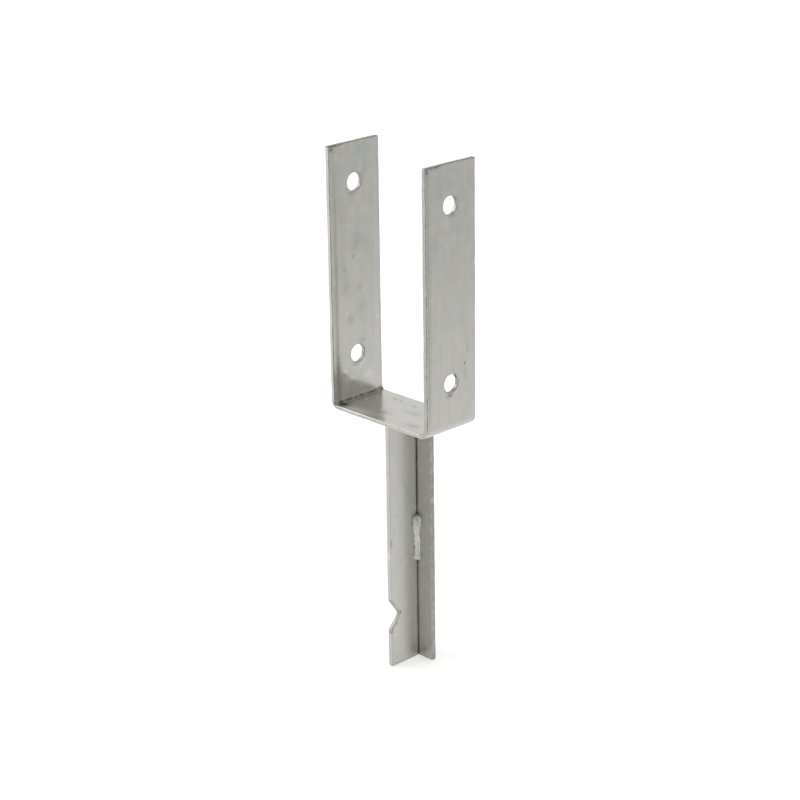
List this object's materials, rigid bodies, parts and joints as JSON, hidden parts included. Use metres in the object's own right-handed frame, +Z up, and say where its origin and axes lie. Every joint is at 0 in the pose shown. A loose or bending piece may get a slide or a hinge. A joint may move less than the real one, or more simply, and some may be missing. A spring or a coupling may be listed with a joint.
{
  "type": "timber post base",
  "caption": "Galvanised U-shaped saddle on a notched T-section stem, cast into concrete to carry and bolt the foot of a square timber post.",
  "frame": {"origin": "centre of the seat's upper face, where the post stands", "axes": "+Z up along the post, X from arm to arm, -Y towards the stem's web and its notch"},
  "size_m": [0.076, 0.038, 0.3],
  "materials": {
    "galvanised_bar": "hot-dip galvanised, cloudy matt grey",
    "galvanised_weld": "hot-dip galvanised weld bead, rippled"
  },
  "bodies": {
    "root": {"saddle": "galvanised_bar", "stem_web": "galvanised_bar", "stem_flange": "galvanised_bar", "stitch_weld_right": "galvanised_weld", "stitch_weld_left": "galvanised_weld", "top_weld_right": "galvanised_weld", "top_weld_left": "galvanised_weld", "top_weld_back": "galvanised_weld"}
  },
  "joints": []
}
